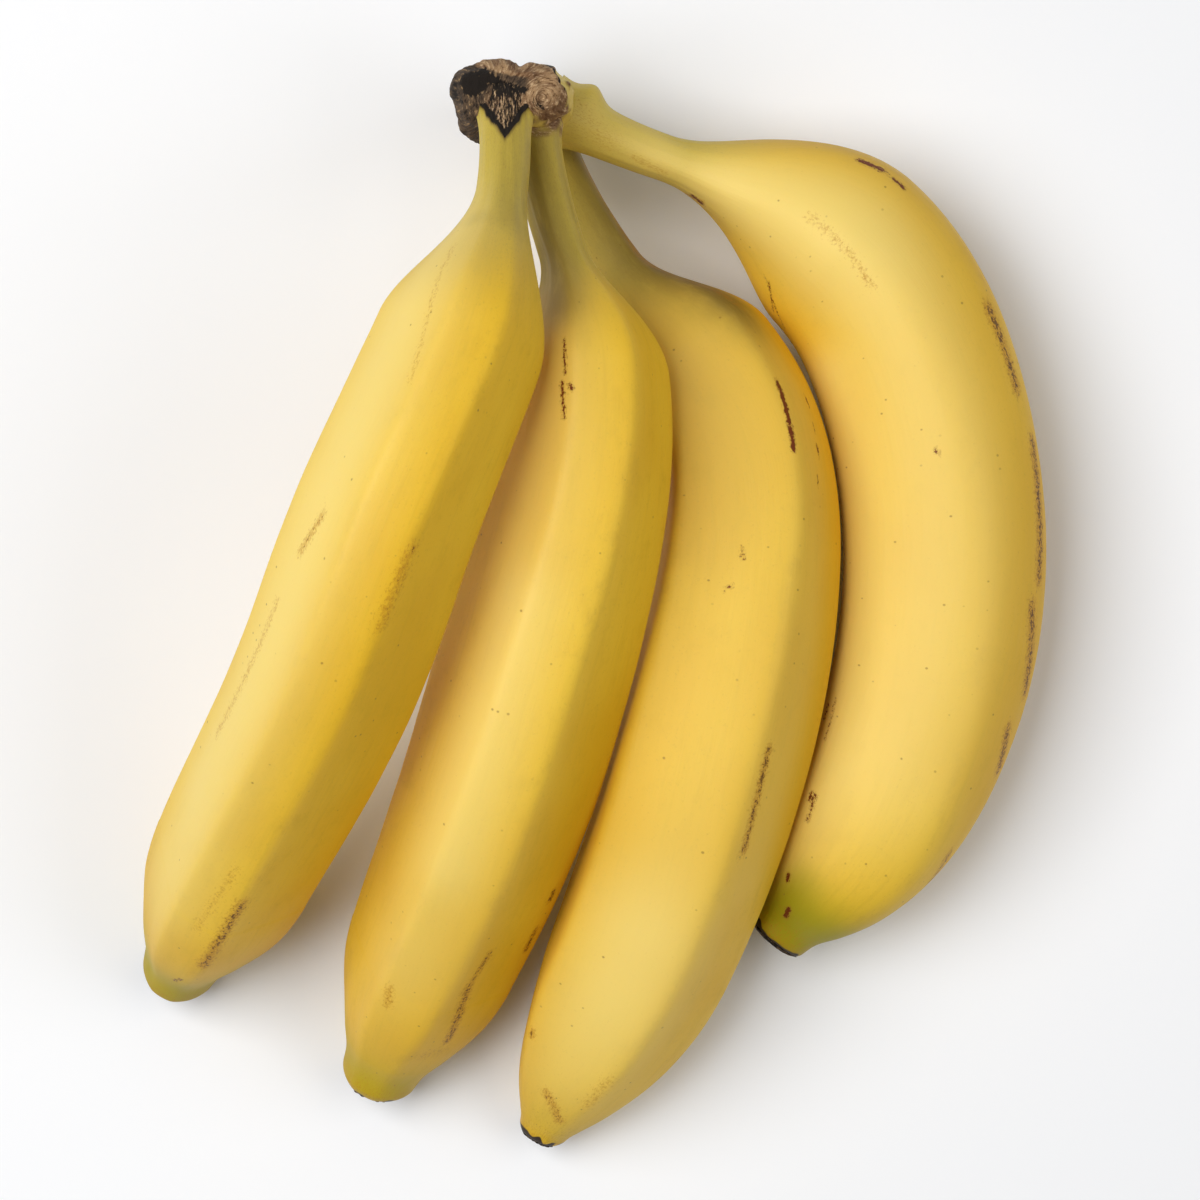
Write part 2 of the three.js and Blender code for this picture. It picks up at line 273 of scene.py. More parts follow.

# %% [markdown]
# ## Marks on the peel
# Real peel carries a history: speckled bruises where fruits rubbed, thin scratches, brown
# smudges on the necks. Some marks are light and shade painted on: a few smudges are painted
# shade on shaded necks and a shoulder, and the pale streaks are painted light. An image could
# hold them, but it would have to be painted and kept beside the file. Each mark here is a line
# from one place to another on the fruit. It has a start and an end, each given as distance along
# the fruit in mm and angle from the middle of the outer curve in degrees, then a width in mm and
# a strength. The distance to that line becomes a soft number at every corner of the mesh, which
# the material turns into speckle.

# %% Marks on the peel
MARKS = [
    dict(bruise=[(88, 59, 95, 70, 1.4, 0.72), (105, 77, 138, 82, 1.4, 0.55),
                 (87, -14, 99, -11, 1.9, 0.68), (162, -6, 184, -3, 1.7, 0.9),
                 (154, 7, 174, 13, 1.4, 0.5), (38, 51, 65, 30, 0.9, 0.5),
                 (120, 150, 128, 152, 2.5, 0.7), (150, -120, 162, -118, 2, 0.7)],
         scratch=[(194, 6, 197, 11, 0.5, 0.7)],
         # smudges: brown marks, except the last, wide and faint one, which is painted shade on the
         # shoulder
         smudge_and_painted_shade=[(31, 43, 30, -53, 4, 0.3), (12, -60, 26, -53, 3, 0.4),
                 (10, 1, 30, -10, 5, 0.4), (30, 20, 38, 25, 10, 0.2)],
         # pale streak: painted light on the left side
         painted_light=[(55, 90, 150, 84, 10, 0.3)]),
    dict(bruise=[(172, 54, 176, 51, 1.4, 0.7), (158, 0, 167, 4, 1.2, 0.9),
                 (167, 4, 183, -7, 1.6, 0.95), (148, -47, 150, -47, 1.1, 1),
                 (157, -46, 162, -46, 1.1, 1), (109, -64, 121, -62, 2, 0.5),
                 (90, -140, 104, -138, 2.5, 0.7), (187, 10, 186, -12, 2.5, 0.5)],
         scratch=[(49.6, 47, 55.5, 47, 0.4, 0.8), (57.2, 50, 63.2, 47, 0.5, 0.8),
                  (57.8, 44, 58.4, 42, 0.5, 0.9)],
         # the first smudge is painted shade on the shaded neck
         smudge_and_painted_shade=[(8, 61, 42, 52, 6.5, 0.6), (6, -20, 24, -22, 3, 0.4)],
         # pale streak: painted light
         painted_light=[(95, 50, 140, 50, 7, 0.4)]),
    dict(bruise=[(129, 23, 145, 22, 1.4, 0.95), (193, 108, 194, 108, 1, 1),
                 (204, 82, 209, 56, 1.6, 0.8), (16, -20, 40, -8, 3, 0.75),
                 (40, -8, 56, -2, 2.5, 0.6), (175, -35, 185, -34, 1.5, 0.6),
                 (100, 160, 112, 158, 2.5, 0.7), (202, 45, 194, 44, 2, 0.5)],
         scratch=[(70, 17.5, 79, 22.5, 0.6, 1), (74, 20, 80, 23, 0.65, 1),
                  (96.6, 57, 98.2, 55, 0.5, 0.7), (103.5, 60, 104.4, 64, 0.45, 0.6),
                  (72.5, -15, 73.5, -15, 0.5, 0.9), (76.5, -11, 77, -11, 0.4, 0.8),
                  (79.5, -8, 80.5, -8, 0.5, 0.9), (84, 0, 85, 0, 0.4, 0.7)],
         # the first smudge is painted shade on the shaded neck
         smudge_and_painted_shade=[(6, -30, 55, 5, 9, 0.8), (15, 58, 44, 35, 5, 0.4)],
         # pale streaks: painted light on the lower body and on the right facet in shade
         painted_light=[(165, 70, 200, 80, 14, 0.7), (55, 0, 150, 0, 7, 0.4)]),
    dict(bruise=[(84, 34, 97, 32, 2.1, 1), (106, 26, 128, 26, 2.1, 1),
                 (133, 32, 146, 20, 2.3, 1), (153, 30, 159, 20, 2.1, 1),
                 (174, 30, 180, 18, 1.7, 0.9), (185, 15, 198, 22, 2.5, 0.8),
                 (18, 113, 24, 123, 1.3, 0.5), (3, 70, 13, 105, 3.5, 0.4),
                 (30, 168, 33, 150, 0.9, 0.9), (120, -110, 132, -108, 2.5, 0.7),
                 (186, 16, 195, 30, 1.6, 0.8), (52, 89, 71, 97, 1.4, 0.5)],
         scratch=[(54.5, 31, 58, 31, 0.9, 1), (60, 33, 62, 34, 0.6, 1),
                  (54, 154, 60, 168, 0.4, 0.7), (177, 143, 178.4, 143, 0.5, 0.9),
                  (159, 157, 162, 157, 0.6, 0.7), (193, 134, 194, 133, 0.5, 0.9),
                  (198.4, 117, 199.8, 115, 0.7, 0.9), (105, 95, 105.5, 94, 0.6, 0.7),
                  (31, 154, 33, 159, 0.8, 0.9), (52, 154, 66, 171, 0.35, 0.5),
                  (157, 151, 166, 149, 0.4, 0.6), (177, 140, 182, 138, 0.5, 0.7)],
         smudge_and_painted_shade=[(8, -60, 40, -50, 4, 0.35)],
         # pale streaks: painted light on the shoulder, on the left edge in the third fruit's shade
         # and on the neck
         painted_light=[(38, 75, 60, 78, 16, 0.5), (85, 165, 190, 155, 9, 1), (4, 60, 20, 60, 8, 0.8)]),
]


def strokes(along, angle, radius, lines):
    """For each line: distance in mm from every point to it on the unrolled peel, turned into a
    bell exp(-(d/width)^2) times its strength. The strongest line wins."""
    result = np.zeros(np.broadcast(along, angle).shape)
    for a0, t0, a1, t1, width, strength in lines:
        across = np.radians(turn_between(angle, t0)) * radius
        run, rise = a1 - a0, np.radians(turn_between(t1, t0)) * radius
        share = np.clip(((along - a0) * run + across * rise) / (run ** 2 + rise ** 2 + 1e-6), 0, 1)
        d = np.hypot(along - a0 - share * run, across - share * rise)
        result = np.maximum(result, strength * np.exp(-(d / width) ** 2))
    return result


print("marks:", [sum(len(group) for group in m.values()) for m in MARKS])

# %% [markdown]
# ## The skin as one function
# The skin of a fruit is the middle line plus the half-width in every direction round it. The
# directions come from the plane of the fruit's bend: angle 0 points to the outside of the
# curve. Over the plain shape go slow swellings, shallow dents and, on the neck, fine flutes.

# %% The skin as one function
SWELLINGS = [(0.35, 34, 7), (0.08, 13, 15), (0.025, 6, 34)]    # mm high, mm long, cells round
CROWN_FLARE = (0.5, 1.3, 1.0, 1.2)      # mm that each skin stands out where it meets the crown


def rings(start, end, count):
    """Distances from start to end, closer together at both ends, by a sine taken off a ramp."""
    share = np.linspace(0, 1, count)
    return start + (end - start) * (share - 0.4 * np.sin(2 * np.pi * share) / (2 * np.pi))


def skin(number, along, angle, relief=1.0):
    """Place = middle line + radius * (outward cos angle + sideways sin angle). The radius is
    the half-width times the five-sided section, with noise and a flare at the crown added.
    Returns the places, the directions outwards and the radius before the flare."""
    f = FRUITS[number]
    curve, places, tangents = middle_line(f["axis"])
    length = curve[-1]
    centre, tangent = (np.stack([np.interp(along, curve, table[:, k]) for k in range(3)], axis=-1)
                       for table in (places, tangents))
    tangent = unit(tangent)
    outward = places[len(places) // 2] - (places[0] + places[-1]) / 2
    outward = unit(outward - (tangent @ outward)[:, None] * tangent)
    sideways = np.cross(tangent, outward)
    a, t = along[:, None], angle[None, :]
    five = f["ridges"], f["sharpness"]
    mean = section(np.arange(360.0), *five).mean()
    depth = (f["ridge_depth"] * (0.35 + 0.65 * ease((a - 15) / 40))
             * (0.3 + 0.7 * ease((length - a - 4) / 24)))       # neck and tip are rounder
    turned = t - f["twist"] * (a - length / 2) / 100
    radius = half_width(f, a, length) * (1 + (section(turned, *five) / mean - 1) * depth)
    if number == 3:     # a knob on the neck, where a flower scale was shed
        radius = radius + 2.6 * np.exp(-((a - 6.5) / 2.8) ** 2 - (turn_between(t, 20) / 36) ** 2)
    seed = 100 * number
    neckness = 1 - ease((a - f["neck_length"]) / 22)
    ends = ease(a / 6) * ease((length - a) / 10)
    swelling = sum(high * tube_noise(a, t, cell, around, seed + layer)
                   for layer, (high, cell, around) in enumerate(SWELLINGS, 1))
    flutes = 0.12 * neckness * tube_noise(a, t + 0.5 * a, 26, 30, seed + 4)
    radius = radius + relief * ends * (swelling + flutes)
    direction = (outward[:, None] * np.cos(np.radians(t))[..., None]
                 + sideways[:, None] * np.sin(np.radians(t))[..., None])
    plain = centre[:, None] + radius[..., None] * direction
    flare = CROWN_FLARE[number] * np.exp(-np.maximum(outside_crown(plain), 0) / 2.6)
    return plain + (flare * ease((30 - a) / 10))[..., None] * direction, direction, radius


belly_radius = skin(0, np.array([100.0]), np.arange(0.0, 360, 5))[2]
print("first fruit's widest radius in mm, 100 mm along:", belly_radius.max().round(1))

# %% [markdown]
# ## From a grid to a mesh
# Every piece is a grid of points that wraps round one way and closes in a pole at each end. The
# faces are the same pattern for all of them: quads between the rings and a fan at each pole. One
# function builds it, and it writes each named number that the material reads as an attribute
# of the mesh.

# %% From a grid to a mesh
def closed_grid(name, grid, first_pole, last_pole, numbers, vectors):
    """Rows of points that wrap round, with a fan to a pole point at both ends. numbers and
    vectors are arrays on the same grid. A pole takes the mean of the row beside it."""
    rows, columns = grid.shape[:2]
    points = np.concatenate([grid.reshape(-1, 3), [first_pole, last_pole]])
    points[:, 2] = np.maximum(points[:, 2], 0)     # what lies on the table is flat there
    r, c = np.meshgrid(np.arange(rows - 1), np.arange(columns), indexing="ij")
    d = (c + 1) % columns
    this, after = r * columns, (r + 1) * columns
    quads = np.stack([this + c, this + d, after + d, after + c], -1).reshape(-1, 4)
    k = np.arange(columns)
    first, last = rows * columns, rows * columns + 1
    fan_a = np.stack([(k + 1) % columns, k, np.full(columns, first)], -1)
    base = (rows - 1) * columns
    fan_b = np.stack([base + k, base + (k + 1) % columns, np.full(columns, last)], -1)
    mesh = bpy.data.meshes.new(name)
    faces = quads.tolist() + fan_a.tolist() + fan_b.tolist()
    mesh.from_pydata(points * 0.001, [], faces)         # Blender works in metres
    for key, values in numbers.items():
        values = np.broadcast_to(values, (rows, columns))
        full = np.concatenate([values.ravel(), [values[0].mean(), values[-1].mean()]])
        layer = mesh.attributes.new(key, "FLOAT", "POINT")
        layer.data.foreach_set("value", full.astype(np.float32))
    for key, values in vectors.items():
        full = np.concatenate([values.reshape(-1, 3), [values[0].mean(0), values[-1].mean(0)]])
        layer = mesh.attributes.new(key, "FLOAT_VECTOR", "POINT")
        layer.data.foreach_set("vector", full.astype(np.float32).ravel())
    mesh.shade_smooth()
    piece = bpy.data.objects.new(name, mesh)
    bpy.context.collection.objects.link(piece)
    return piece


def volume(mesh):
    """Signed volume in cubic cm, from the tetrahedra between the origin and each triangle. It is
    positive where the faces point outwards."""
    mesh.calc_loop_triangles()
    p = np.empty(len(mesh.vertices) * 3)
    mesh.vertices.foreach_get("co", p)
    t = np.empty(len(mesh.loop_triangles) * 3, int)
    mesh.loop_triangles.foreach_get("vertices", t)
    a, b, c = (p.reshape(-1, 3)[t.reshape(-1, 3)[:, k]] for k in range(3))
    return float(np.einsum("ij,ij->i", a, np.cross(b, c)).sum() / 6 * 1e6)


print("mesh maker ready")

# %% [markdown]
# ## Where bark meets skin
# The crown is bare cork, bark and charred-looking latex, and the skin of the necks creeps up on
# to it with a ragged edge. If crown and necks had separate rules for colour, a hard line would
# show where the surfaces cross. Both use this one function of the place in space, so the edge
# runs from one piece to the next without a break.

# %% Where bark meets skin
GRAIN_CENTRE = (-8.9, 93.4)             # mm (x, y): a small pit in the cork
SCAR = (-15.6, 92.3, 3.8, 3.2)          # (x, y) and half-widths in mm, under the torn neck
SCAB = (-20.8, 95.9, 2.3, 2.5)          # black latex at the crown's outer corner


def blob(x, y, spot):
    """A flat-topped bell: exp(-(u^2 + v^2)^2), with u and v the distances from the middle over
    the half-widths."""
    return np.exp(-(((x - spot[0]) / spot[2]) ** 2 + ((y - spot[1]) / spot[3]) ** 2) ** 2)


def grown(place):
    """Numbers for bark (1 bare, 0 skin), cork (tan) and char (black), from soft half-planes and
    blobs in space, each pushed about by noise. Also the coordinates of the wood grain, which
    runs in rings round a pit in the cork."""
    x, y, z = place[..., 0], place[..., 1], place[..., 2]
    ragged = 1.3 * space_noise(place, 3.1, 5) + 0.8 * space_noise(place, 1.2, 6)
    high = (x + 6.5) * 0.926 + (y - 100) * 0.3         # mm past the line of the skin, on the top
    low = x + 7                                        # the same lower down
    outer = high + (low - high) * ease((46 - z) / 8)
    dx, dy = x - GRAIN_CENTRE[0], y - GRAIN_CENTRE[1]
    rho = np.hypot(dx, dy)
    grain = np.stack([0.8 * dx, 0.8 * dy, 1.7 * rho + 0.5 * z], -1)
    inner = 84 + 4.6 * ease((x + 18) / 6) - y          # the same on the necks' side
    frayed = np.maximum(outer, inner) + ragged + space_noise(grain * [1, 1, 0.4], 0.9, 9)
    bark = 1 - ease(frayed / (1.4 + 2.2 * ease((96 - y) / 5)) + 0.5)
    scar = blob(x, y, SCAR)
    cork = ease((x + 13.2 + 3 * (y - 97) * (y > 97) + 2 * space_noise(place, 4, 7)) / 2.6)
    cork = np.maximum(cork * ease((z - 30) / 8), 0.9 * scar)
    run = np.clip((x + 19.5) / 7, 0, 1)                # a black line from the scab to the cork
    line = np.exp(-(np.hypot(x + 19.5 - 7 * run, y - 97.6 + 2.8 * run) / (1.5 - 0.6 * run)) ** 2)
    edge = 0.9 * np.exp(-((outer + ragged + 0.9) / 0.45) ** 2) * ease((y - 94) / 2)
    pit = 0.45 * np.exp(-((rho - 1.6) / 1.1) ** 2) * ease((94 - y) / 1.5)
    # a share of black that grows towards the crown's left side
    left_side_dark = 0.25 * ease((-18.5 - x) / 3)
    black = np.max([blob(x, y, SCAB), line, edge, pit, left_side_dark], axis=0) * ease((z - 38) / 10)
    char = np.clip(np.maximum(black, 0.53 * scar) + 0.35 * space_noise(place, 2.2, 8), 0, 1)
    return bark, cork, char, grain


print("bark at the crown's top:", grown(np.array([[-15.0, 95, 56]]))[0].round(2))

# %% [markdown]
# ## The four fruits
# Each fruit is one closed surface from inside the crown to just before the dried flower end. The
# top fruit's skin stops at a V-shaped tear with a curled black lip. The lip and the fibres in
# the tear are real relief, made from the distance to the edge of the V.

# %% The four fruits
PEEL_ROWS, PEEL_COLUMNS = 390, 236
PAINTED_LIGHT_SIDES = [(0.7, 62), (0.5, 58), (0.4, 57), (0.6, 98)]      # strength of the painted light, side facing the key light in degrees
GREEN = [(0.75, 27), (0.6, 23), (0.3, 23), (1.0, 23)]     # strength, reach from the tip in mm
NECK_FADE = (1.3, 1, 1, 0.8)    # how far the neck's colour fades out, in shoulder lengths; the first fruit's longer fade is painted shade on its shoulder


def round_tube(along, angle, radius):
    """Coordinates (along, radius * cos angle, radius * sin angle), which join up all round."""
    turn = np.radians(angle)
    parts = np.broadcast_arrays(along, radius * np.cos(turn), radius * np.sin(turn))
    return np.stack(parts, -1)


def tear(along, angle):
    """Distance in mm inside the torn edge of the top fruit's skin: the edge lies 2.5 mm along
    the neck at its sides, and runs out in a point of 12.5 mm on top and 6 mm below."""
    top = np.maximum(0, 1 - np.abs(turn_between(angle, 8)) / 66)
    below = np.maximum(0, 1 - np.abs(turn_between(angle, 190)) / 60)
    wobble = 0.55 * tube_noise(along, angle, 1.6, 30, 41)
    return 2.6 + 9.8 * top + 3.2 * below - along + wobble


def make_fruit(number):
    """Grid of distance along the fruit by angle round it, with all the numbers that the peel's
    material reads. Inside the tear the surface sinks a little and carries fibres, a stretched
    noise. A bell round the line 0.7 mm inside the tear's edge lifts the lip. Painted light =
    strength times (half of one plus the cosine of the angle from the side facing the key
    light)^4, faded at both ends."""
    f = FRUITS[number]
    curve, axis_places, _ = middle_line(f["axis"])
    length = curve[-1]
    along = rings(0.2, length - CAP_LENGTH, PEEL_ROWS)
    angle = np.linspace(-180, 180, PEEL_COLUMNS, endpoint=False)
    place, direction, radius = skin(number, along, angle)
    a, t = along[:, None], angle[None, :]
    bark, cork, char, grain = grown(place)
    roll = round_tube(a + 300 * number, t, 14)         # 300 mm apart, so no two look alike
    singed = 0
    if number == 0:                                    # the torn neck of the top fruit
        inside = tear(a, t)
        singed = np.exp(np.minimum(inside, 0) / 1.3)
        bark = ease(inside / 0.5 + 0.5)
        lip = np.exp(-((inside - 0.7) / 0.85) ** 2)
        fibre = tube_noise(a, t + 3 * np.sin(a), 2.4, 60, 42)
        place = place + (0.5 * lip + bark * (0.3 * fibre - 0.3))[..., None] * direction
        near_crown = ease((2.5 - outside_crown(place)) / 2.5)
        char = np.clip((1.1 + 0.6 * fibre) * lip + 0.15 * near_crown + 0.53 * bark, 0, 1)
        cork = bark * 0.9
        grain = round_tube(0.6 * a, t, 9)
    marks = MARKS[number]
    turned = t - f["twist"] * (a - length / 2) / 100
    ridge = np.max([np.exp(-(np.radians(turn_between(turned, r)) * radius / 1.6) ** 2)
                    for r in f["ridges"]], axis=0)
    left = length - a
    painted_light_strength, side = PAINTED_LIGHT_SIDES[number]
    facing = (0.5 + 0.5 * np.cos(np.radians(t - side))) ** 4
    green, green_length = GREEN[number]
    neck_fade = f["shoulder"] * NECK_FADE[number]
    numbers = dict(
        bark=bark, cork=cork, char=char,
        neck=1 - ease((a - f["neck_length"] * 0.85) / neck_fade),
        green=green * (1 - ease((left - 3 - 3 * tube_noise(a, t, 8, 12, 9)) / green_length)),
        rim=1 - ease((left - CAP_LENGTH - 1.1 * tube_noise(a, t, 2.2, 22, 10)) / 1.4),
        ridge=ridge * ease((a - 30) / 25) * ease(left / 15),
        # painted light: paler towards the side facing the key light, plus the pale streaks
        painted_light=np.minimum(1, painted_light_strength * facing * ease((a - 8) / 30) * ease(left / 45)
                        + 0.5 * strokes(a, t, radius, marks["painted_light"])),
        bruise=np.maximum(strokes(a, t, radius, marks["bruise"]), 0.9 * np.exp(-left / 7)),
        scratch=strokes(a, t, radius, marks["scratch"]),
        # real smudges and the browned edge of the tear, with painted shade on shaded necks
        smudge_and_painted_shade=np.maximum(strokes(a, t, radius, marks["smudge_and_painted_shade"]), singed))
    piece = closed_grid(f"peel_{number + 1}", place, axis_places[0], place[-1].mean(0), numbers,
                        dict(roll=roll, grain=grain))
    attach(piece, "root")
    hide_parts(f"banana_{number + 1}")
    print(piece.name, "length", round(length, 1), "mm, volume", round(volume(piece.data), 1), "cm3")
    return piece


fruits = [make_fruit(number) for number in range(4)]

# %% [markdown]
# ## Dried flower ends
# At the tip sits what is left of the flower: a black-brown dried button with a ragged rim. A
# flattened sphere would look like a rubber cap. This one is the end of the same skin formula,
# with a sunken middle, radial folds and a torn edge.

# %% Dried flower ends
BUTTON_ROWS, BUTTON_COLUMNS = 40, 144


def make_button(number):
    """Grid of rings from the rim to the middle. The rim follows the skin formula. Folds are a
    cosine round the edge plus noise, and the middle sinks by a bell-shaped dip."""
    curve, _, tangents = middle_line(FRUITS[number]["axis"])
    length = curve[-1]
    start = length - CAP_LENGTH + CAP_GAP
    share = np.linspace(0, 1, BUTTON_ROWS)
    along = start + (length - start) * np.sin(share * np.pi / 2) * 0.999    # just short of a point
    angle = np.linspace(-180, 180, BUTTON_COLUMNS, endpoint=False)
    place, direction, radius = skin(number, along, angle, relief=0)
    t = angle[None, :]
    spread = radius / radius.max()
    pleats = 0.16 * np.cos(np.radians(t * 23 + 40 * np.sin(np.radians(3 * t))))
    folds = pleats + 0.3 * tube_noise(20 * spread, t, 4, 21, 60 + number)
    dip = 0.9 * np.exp(-(spread / 0.45) ** 2) - 0.5 * np.exp(-(spread / 0.16) ** 2)
    place = place + (folds * spread ** 2)[..., None] * direction - dip[..., None] * tangents[-1]
    char = 0.55 + 0.4 * tube_noise(20 * spread, t, 3, 30, 70 + number)
    numbers = dict(bark=1.0, cork=0.15, char=char)
    grain = np.roll(round_tube(radius, t, 9), -1, axis=-1)
    piece = closed_grid(f"flower_end_{number + 1}", place, place[0].mean(0), place[-1].mean(0),
                        numbers, dict(grain=grain))
    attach(piece, "root")
    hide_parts(f"blossom_end_{number + 1}")
    print(piece.name, "volume", round(volume(piece.data), 3), "cm3")
    return piece


buttons = [make_button(number) for number in range(4)]

# %% [markdown]
# ## The crown
# Dried stem shrinks unevenly. It has big soft lumps, curved wrinkles that follow its outline,
# and fine fibres. Those are three sizes of relief on the one boxy ellipsoid. The wrinkles are
# noise folded at zero (one minus its absolute value), which gives sharp creases between round
# backs, the way bark dries.

# %% The crown
CROWN_ROWS, CROWN_COLUMNS = 230, 330
# Direction in degrees, height in mm, half-width in degrees, half-height and relief in mm:
CROWN_LUMPS = [(80, 47, 9, 16, -1.6), (228, 42, 22, 18, 2.1), (152, 36, 26, 12, 1.1),
               (48, 30, 22, 8, 0.7), (205, 22, 22, 8, 1), (118, 14, 30, 7, 1),
               (70, 22, 14, 6, -0.8)]


def make_crown():
    """Angle round by tilt from foot to top. Rise = sin(tilt)^k and spread = cos(tilt)^k with
    k below one. Each lump is a bell in direction and height. Relief is added along the
    direction outwards and upwards."""
    tilt = np.linspace(-0.5, 0.5, CROWN_ROWS + 2)[1:-1, None] * np.pi
    angle = np.linspace(-180, 180, CROWN_COLUMNS, endpoint=False)[None, :]
    k = CROWN["boxiness"]
    rise = np.sign(tilt) * np.abs(np.sin(tilt)) ** k
    spread = np.cos(tilt) ** k
    centre, tall = (CROWN["top"] + CROWN["bottom"]) / 2, (CROWN["top"] - CROWN["bottom"]) / 2
    z = centre + tall * rise + 0 * angle
    middle, half = crown_level(z)
    ray = np.stack([np.cos(np.radians(angle)) + 0 * z, np.sin(np.radians(angle)) + 0 * z], -1)
    lumps = sum(h * np.exp(-(turn_between(angle, d) / w) ** 2 - ((z - at) / reach) ** 2)
                for d, at, w, reach, h in CROWN_LUMPS)
    flat = middle + (half + lumps[..., None]) * ray * spread[..., None]
    place = np.concatenate([flat, z[..., None]], -1)
    bark, cork, char, grain = grown(place)
    upwards = 0.7 * np.sign(rise) * np.abs(rise) ** 6 + 0 * z
    slope = unit(np.concatenate([ray * spread[..., None], upwards[..., None]], -1))
    wrinkle = 1 - np.abs(space_noise(grain * [1, 1, 0.55], 2.3, 21))
    fine = 1 - np.abs(space_noise(grain * [1, 1, 1.3], 1.1, 22))
    relief = (0.9 * space_noise(place, 8, 23) + 0.9 * (wrinkle - 0.75) + 0.3 * (fine - 0.75)
              + 0.35 * space_noise(place, 2.6, 24)) * (0.35 + 0.65 * bark)
    place = place + relief[..., None] * slope
    # the 0.4 is a flat share of the necks' painted light
    numbers = dict(bark=bark, cork=cork, char=char, neck=1.0, painted_light=0.4)    # skin as on the necks
    roll = place + 7000         # far from the fruits' coordinates, so its speckle is its own
    piece = closed_grid("crown_of_stem", place, place[0].mean(0), place[-1].mean(0), numbers,
                        dict(grain=grain, roll=roll))
    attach(piece, "root")
    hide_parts("crown")
    print(piece.name, "volume", round(volume(piece.data), 1), "cm3")
    return piece


crown = make_crown()

# %% [markdown]
# ## A helper for node materials
# A procedural material is a graph of small nodes. Writing each link by hand is long, so one
# helper adds a node, sets its own settings and fills its inputs, each with a number, a colour or
# another node's output. Colours are given as on a colour chart and turned into linear light,
# because the renderer multiplies light, not screen values.

# %% A helper for node materials
def linear(code):
    """sRGB hex to linear colour: values up to 0.04045 are divided by 12.92, larger ones go
    through ((v + 0.055) / 1.055) ^ 2.4."""
    v = np.array([int(code[k:k + 2], 16) for k in (1, 3, 5)]) / 255
    v = np.where(v <= 0.04045, v / 12.92, ((v + 0.055) / 1.055) ** 2.4)
    return (*v.tolist(), 1.0)


def add(tree, kind, inputs=None, **settings):
    """Adds the node ShaderNode<kind>, sets its properties, and sets or links its inputs."""
    made = tree.nodes.new("ShaderNode" + kind)
    for key, value in settings.items():
        setattr(made, key, value)
    for key, value in (inputs or {}).items():
        if isinstance(value, bpy.types.NodeSocket):
            tree.links.new(value, made.inputs[key])
        else:
            made.inputs[key].default_value = value
    return made


print("yellow in linear light:", [round(v, 3) for v in linear("#e7c43f")])

# %% [markdown]
# ## The numbers that paints read
# Paint on fruit is never even. Some of it is placed: the neck, the green tip, a bruise. That part
# was stored on the mesh. The rest is grain and speckle, which noise nodes make in the stored
# millimetre coordinates: `roll` is the unrolled peel, `grain` follows the fibres of the bark. A
# third kind is a placed mark broken up by a noise, so that its edge turns into dots.

# %% The numbers that paints read
PLACED = ["bark", "cork", "char", "neck", "green", "rim", "ridge", "painted_light", "bruise", "scratch",
          "smudge_and_painted_shade"]
NOISES = dict(   # coordinates, stretch, features per mm, detail, roughness
    drift=("roll", (0.6, 1, 1), 0.035, 2, 0.5),     # patches the size of a thumb
    mottle=("roll", (0.6, 1, 1), 0.25, 4, 0.7),     # 4 mm clouds
    fibre=("roll", (0.06, 1, 1), 0.9, 3, 0.6),      # fibres along the peel
    speck=("roll", (0.75, 1, 1), 2.2, 2, 0.8),      # half a millimetre
    broad=("grain", (1, 1, 1), 0.35, 3, 0.6),       # 3 mm patches of the bark
    strands=("grain", (1, 1, 1.5), 1.1, 4, 0.7))    # its torn strands, under a millimetre
BROKEN = dict(   # a placed mark plus a share of a noise
    bruise_dots=("bruise", "speck", 1.8),
    scratch_dots=("scratch", "speck", 2.0),
    char_flakes=("char", "strands", -1.4))
PORE_SPACING = 2.4      # mm between the cells that may hold a pore


def sources(tree):
    """A dictionary from the name of a number to the socket that gives it."""
    found = {name: add(tree, "Attribute", attribute_name=name).outputs["Fac"]
             for name in PLACED}
    spaces = {name: add(tree, "Attribute", attribute_name=name).outputs["Vector"]
              for name in ("roll", "grain")}
    for name, (space, stretch, scale, detail, roughness) in NOISES.items():
        place = add(tree, "Mapping", {"Vector": spaces[space], "Scale": stretch}).outputs[0]
        found[name] = add(tree, "TexNoise", {"Vector": place, "Scale": scale, "Detail": detail,
                                             "Roughness": roughness}).outputs["Fac"]
    for name, (mark, noise, share) in BROKEN.items():
        found[name] = add(tree, "Math", {0: found[noise], 1: share, 2: found[mark]},
                          operation="MULTIPLY_ADD").outputs[0]
    pores = add(tree, "TexVoronoi", {"Vector": spaces["roll"], "Scale": 1 / PORE_SPACING})
    found["pore_distance"] = pores.outputs["Distance"]
    found["pore_choice"] = add(tree, "SeparateColor", {0: pores.outputs["Color"]}).outputs[0]
    return found


def paint(tree, found, base, coats):
    """Coats from first to last over a base. Each has a colour, the most it may cover, and any
    number of (source, low, high). Cover = most times a smooth step from low to high of each
    source."""
    result = base
    for colour, most, *steps in coats:
        cover = most
        for source, low, high in steps:
            cover = add(tree, "MapRange", {"Value": found[source], "From Min": low,
                                           "From Max": high, "To Max": cover},
                        interpolation_type="SMOOTHSTEP").outputs[0]
        if isinstance(colour, str):
            colour = linear(colour)
        result = add(tree, "Mix", {0: cover, 6: result, 7: colour}, data_type="RGBA").outputs[2]
    return result


print("noises:", len(NOISES), "placed numbers:", len(PLACED))

# %% [markdown]
# ## Bark, cork and char
# The bare crown is dried latex and torn fibre: grey-brown wood, tan cork and nearly black
# scabs. It scatters light like rough wood and has next to no shine. Grain that runs the right
# way matters more than the exact colours, so the noise reads the grain coordinates. The coats
# are a plain table, because a table is easy to tune.

